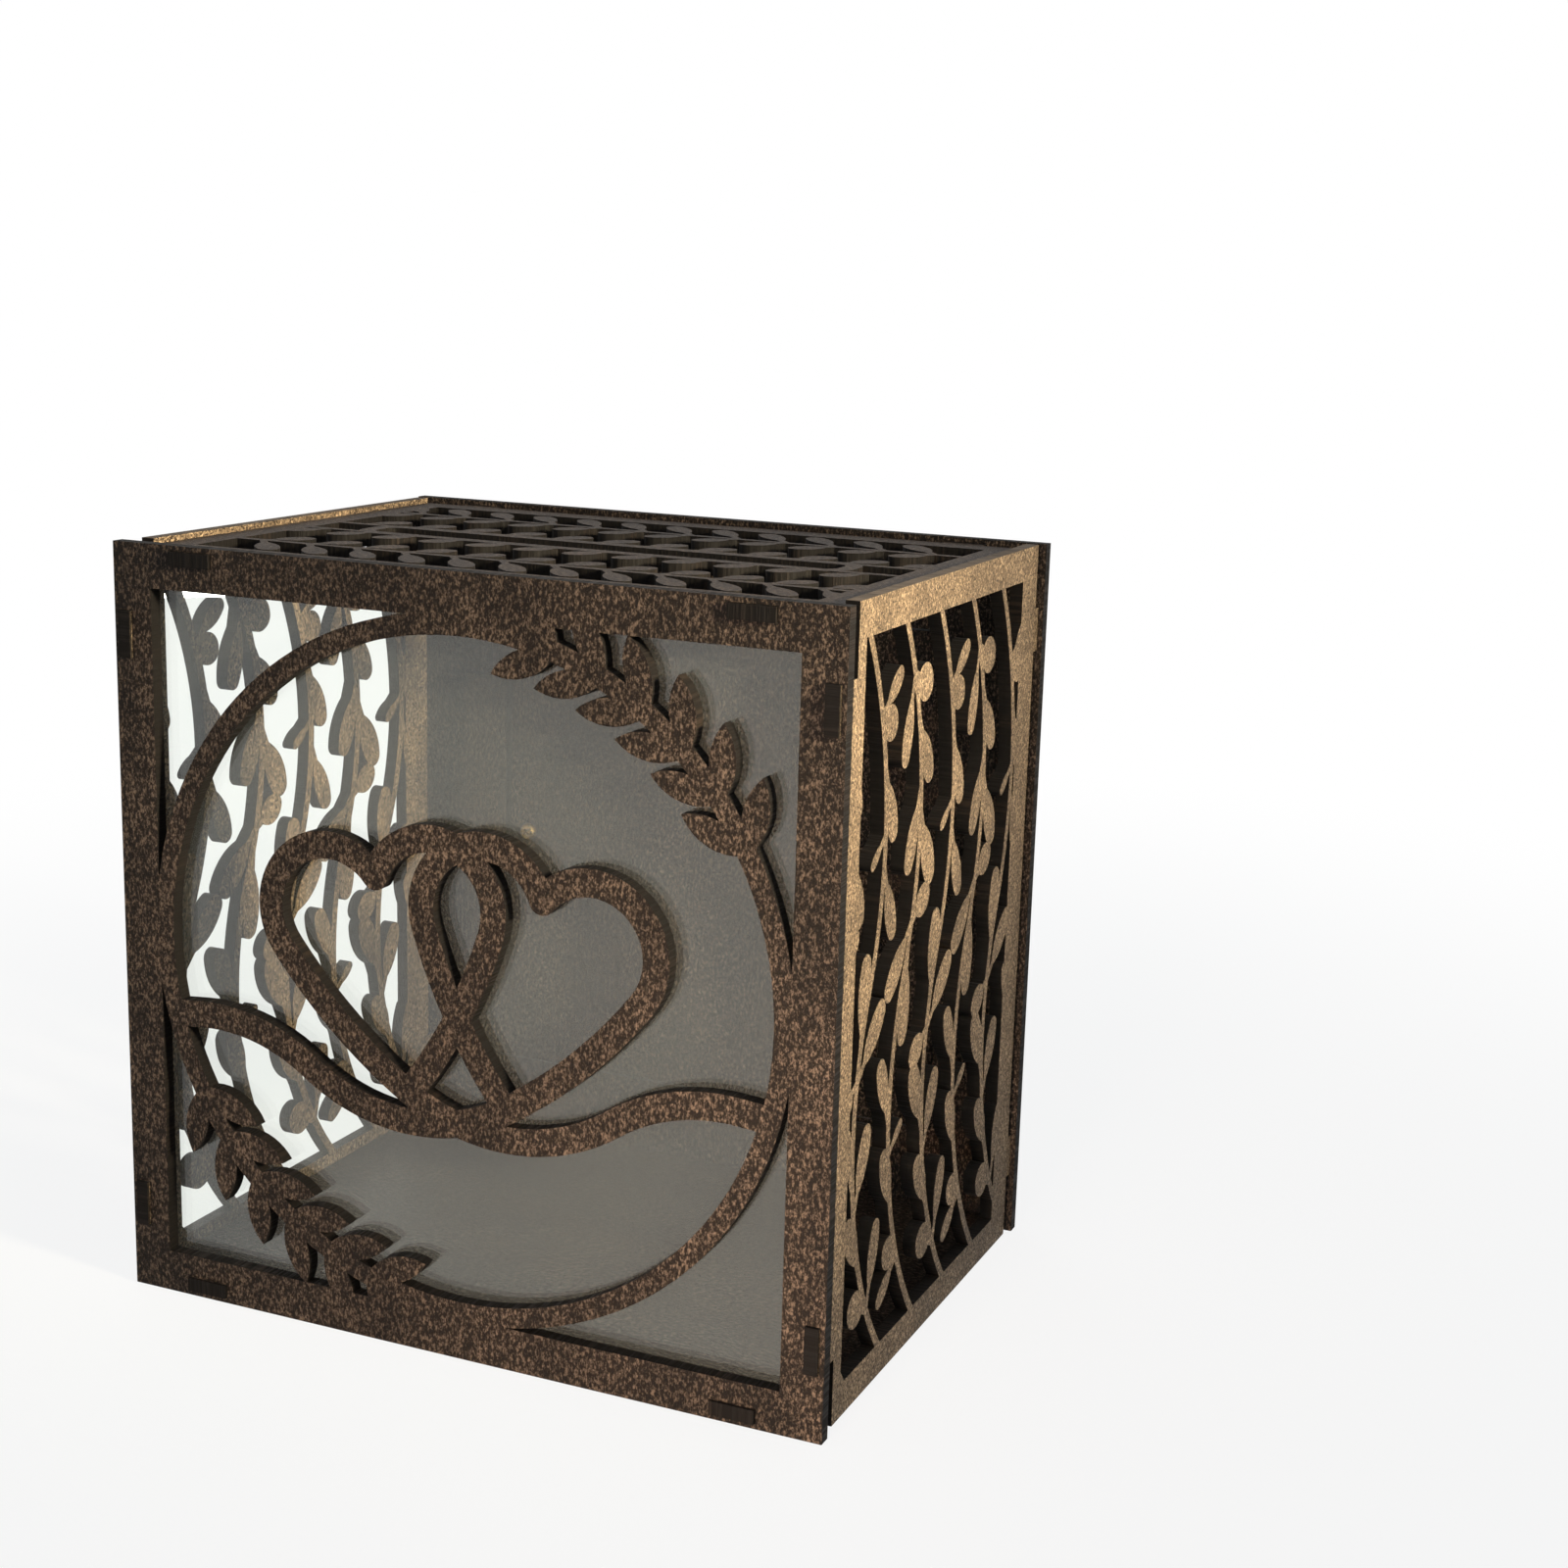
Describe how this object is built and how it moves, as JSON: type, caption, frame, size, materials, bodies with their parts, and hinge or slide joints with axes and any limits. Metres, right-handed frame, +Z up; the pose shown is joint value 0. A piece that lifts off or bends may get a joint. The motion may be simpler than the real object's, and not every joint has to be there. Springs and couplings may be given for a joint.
{
  "type": "wedding card box",
  "caption": "Laser-cut wooden box for wedding cards: pierced vine walls and top with a card slot, a wreath front with linked hearts over a clear pane, and a hinged rear door.",
  "frame": {"origin": "on the table, under the middle of the whole object, tabs and door knob included", "axes": "+X to the right as seen from the front, +Y from the front to the back, +Z up"},
  "size_m": [0.25, 0.199, 0.25],
  "materials": {
    "stained_board": "dark stained hardboard, satin, with dark laser-cut edges",
    "clear_acrylic": "clear polished acrylic",
    "aged_brass": "antiqued",
    "magnet_nickel": "nickel plated"
  },
  "bodies": {
    "box": {"back_panel": "stained_board", "door_stop": "stained_board", "floor_panel": "stained_board", "frame_hinge_screws": "aged_brass", "front_pane": "clear_acrylic", "front_panel": "stained_board", "left_wall": "stained_board", "lower_hinge_frame_leaf": "aged_brass", "lower_hinge_pin": "aged_brass", "right_wall": "stained_board", "stop_magnets": "magnet_nickel", "top_panel": "stained_board", "upper_hinge_frame_leaf": "aged_brass", "upper_hinge_pin": "aged_brass"},
    "door": {"rear_door": "stained_board", "door_magnets": "magnet_nickel", "door_hinge_screws": "aged_brass", "pull_knob": "aged_brass", "knob_screw": "aged_brass", "upper_hinge_door_leaf": "aged_brass", "lower_hinge_door_leaf": "aged_brass"}
  },
  "joints": [
    {"name": "door_hinge", "type": "hinge", "parent": "box", "child": "door", "pos_m": [0.0917, 0.0858, 0.125], "axis": [0, 0, -1], "range_deg": [0, 110]}
  ]
}
